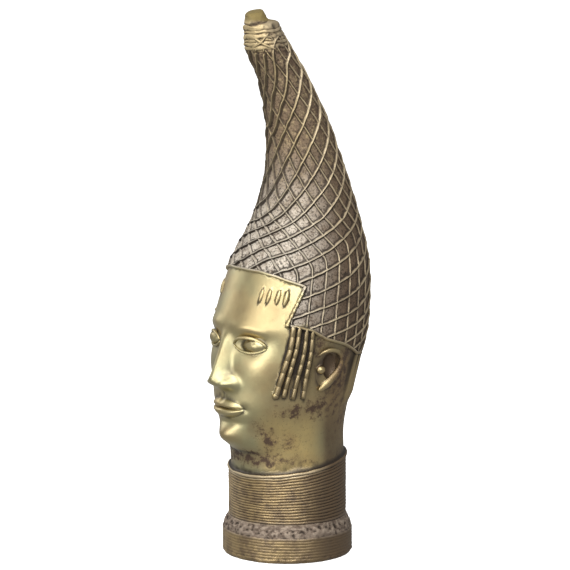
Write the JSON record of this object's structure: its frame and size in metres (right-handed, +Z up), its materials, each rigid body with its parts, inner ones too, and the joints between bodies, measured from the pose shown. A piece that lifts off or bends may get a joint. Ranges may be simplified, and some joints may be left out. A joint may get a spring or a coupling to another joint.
{
  "type": "bronze bust",
  "caption": "Cast head on a ringed collar, with a tall netted cap that curls forward to a bound tip; stands on its flat flanged base.",
  "frame": {"origin": "centre of the flange's flat underside", "axes": "+Z up, -Y the way the face looks, +X the figure's own left"},
  "size_m": [0.1438, 0.1749, 0.52],
  "materials": {
    "patinated_brass": "worn satin on face, neck and raised strands, with brown patina and casting dirt in the hollows"
  },
  "bodies": {
    "root": {"cast_head": "patinated_brass"}
  },
  "joints": []
}
